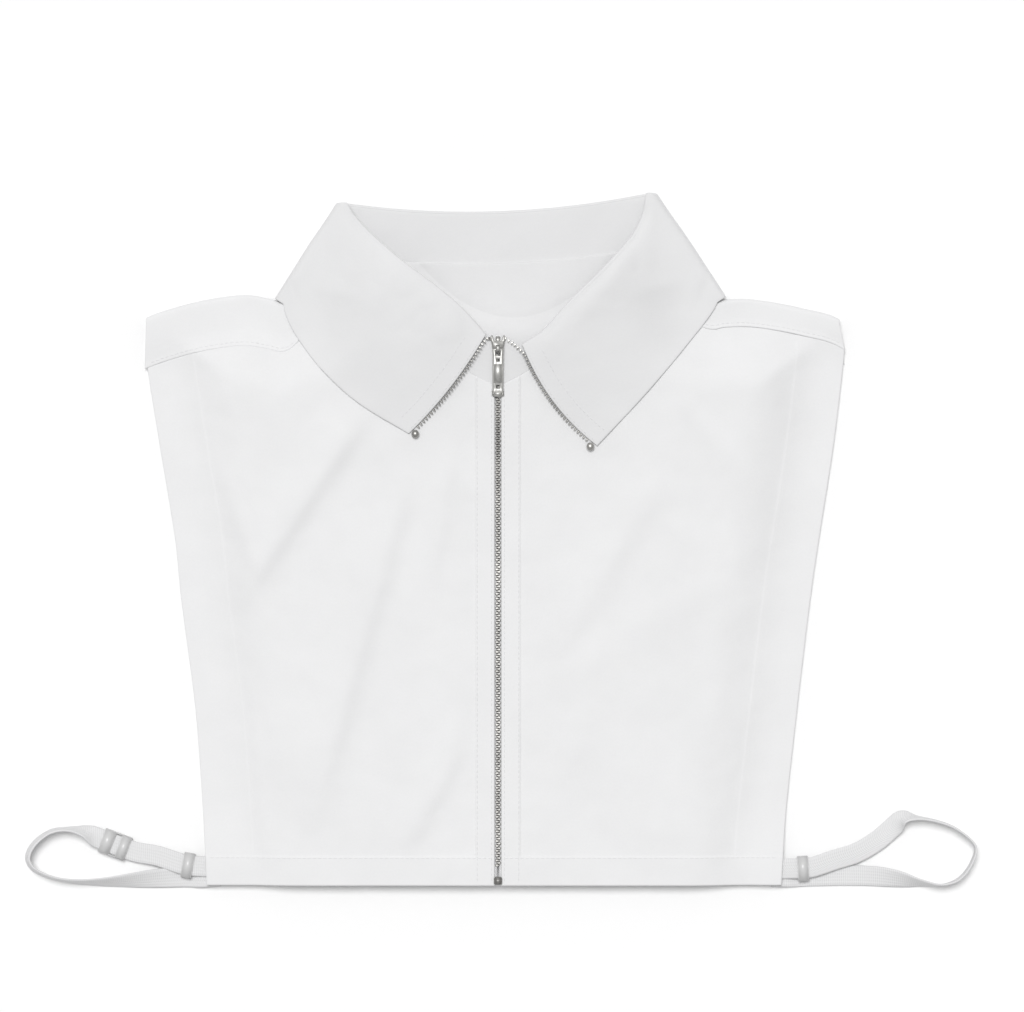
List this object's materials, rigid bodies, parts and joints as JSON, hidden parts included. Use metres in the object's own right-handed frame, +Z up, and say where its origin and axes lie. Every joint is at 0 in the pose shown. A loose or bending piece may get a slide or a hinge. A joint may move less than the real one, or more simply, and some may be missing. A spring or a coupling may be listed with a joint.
{
  "type": "zip front bib collar",
  "caption": "Pointed shirt collar on a short sleeveless bib front and back, with a full metal zip and elastic side straps, lying flat.",
  "frame": {"origin": "on the flat underside of the back panel, below the zip, 137 mm above the hem", "axes": "+X to the right of the bib seen from above, +Y towards the collar, +Z up out of the surface that it lies on"},
  "size_m": [0.4906, 0.3595, 0.0285],
  "materials": {
    "cotton": "matt plain-woven cotton",
    "tape": "matt herringbone zip tape",
    "elastic": "matt knitted elastic",
    "plastic": "satin white plastic",
    "nickel": "worn antique nickel"
  },
  "bodies": {
    "bib": {"back_panel": "cotton", "front_panel_left": "cotton", "front_panel_right": "cotton", "shoulder_left": "cotton", "shoulder_right": "cotton", "collar_stand": "cotton", "collar_leaf": "cotton", "zip_tape_left": "tape", "zip_tape_right": "tape", "zip_teeth_left": "nickel", "zip_teeth_right": "nickel", "collar_teeth_left": "nickel", "collar_teeth_right": "nickel", "zip_top_stop_left": "nickel", "zip_top_stop_right": "nickel", "zip_bottom_stop": "nickel", "zip_slider": "nickel", "strap_left": "elastic", "strap_right": "elastic", "strap_ring_left": "plastic", "strap_ring_right": "plastic", "strap_slide_left": "plastic"},
    "puller": {"zip_puller": "nickel"}
  },
  "joints": [
    {"name": "puller_swing", "type": "hinge", "parent": "bib", "child": "puller", "pos_m": [0, 0.13864, 0.0271], "axis": [-1, 0, 0], "range_deg": [0, 150]}
  ]
}
